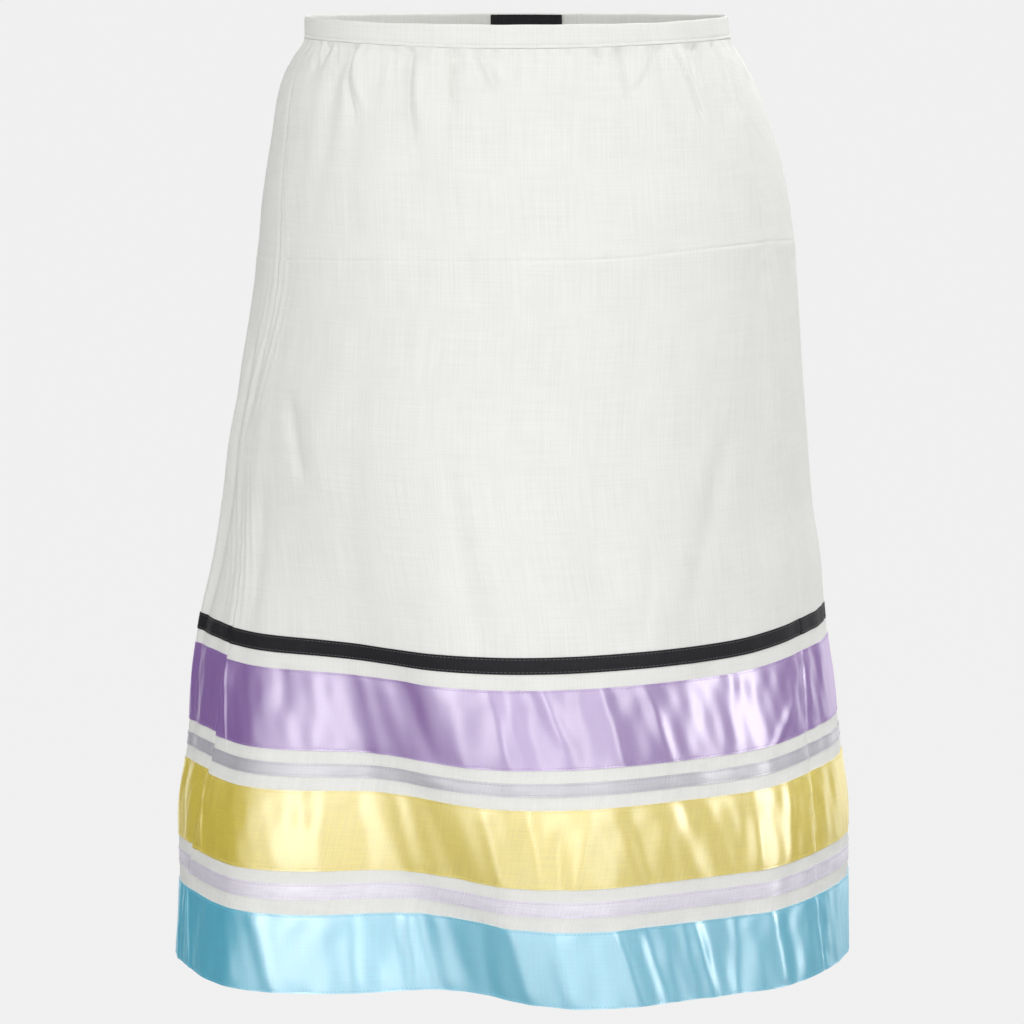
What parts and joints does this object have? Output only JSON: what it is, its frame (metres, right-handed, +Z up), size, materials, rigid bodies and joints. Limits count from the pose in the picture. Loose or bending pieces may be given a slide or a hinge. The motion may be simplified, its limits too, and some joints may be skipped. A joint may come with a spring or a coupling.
{
  "type": "knee-length a-line skirt",
  "caption": "Off-white linen A-line skirt, gathered into a narrow waistband, with bands of satin and grosgrain ribbon sewn round above the hem; filled out and hollow.",
  "frame": {"origin": "middle of the waist opening, level with the waistband's top edge, where a wearer's waist holds it", "axes": "+Z up, out of the waist opening; the front faces -Y; +X to the right of someone looking at the front"},
  "size_m": [0.4441, 0.375, 0.6196],
  "materials": {
    "linen": "matt off-white slubbed linen, plain weave",
    "grosgrain": "matt black ribbed grosgrain ribbon",
    "purple_satin": "shiny mid purple satin ribbon",
    "grey_satin": "shiny silver-grey satin ribbon",
    "yellow_satin": "shiny soft yellow satin ribbon",
    "lilac_satin": "shiny pale lilac satin ribbon",
    "blue_satin": "shiny light blue satin ribbon",
    "label_tape": "matt black woven tape, bare"
  },
  "bodies": {
    "root": {"waistband": "linen", "front_panel": "linen", "back_panel": "linen", "black_ribbon_front": "grosgrain", "black_ribbon_back": "grosgrain", "purple_ribbon_front": "purple_satin", "purple_ribbon_back": "purple_satin", "grey_ribbon_front": "grey_satin", "grey_ribbon_back": "grey_satin", "yellow_ribbon_front": "yellow_satin", "yellow_ribbon_back": "yellow_satin", "lilac_ribbon_front": "lilac_satin", "lilac_ribbon_back": "lilac_satin", "blue_ribbon_front": "blue_satin", "blue_ribbon_back": "blue_satin", "label": "label_tape"}
  },
  "joints": []
}
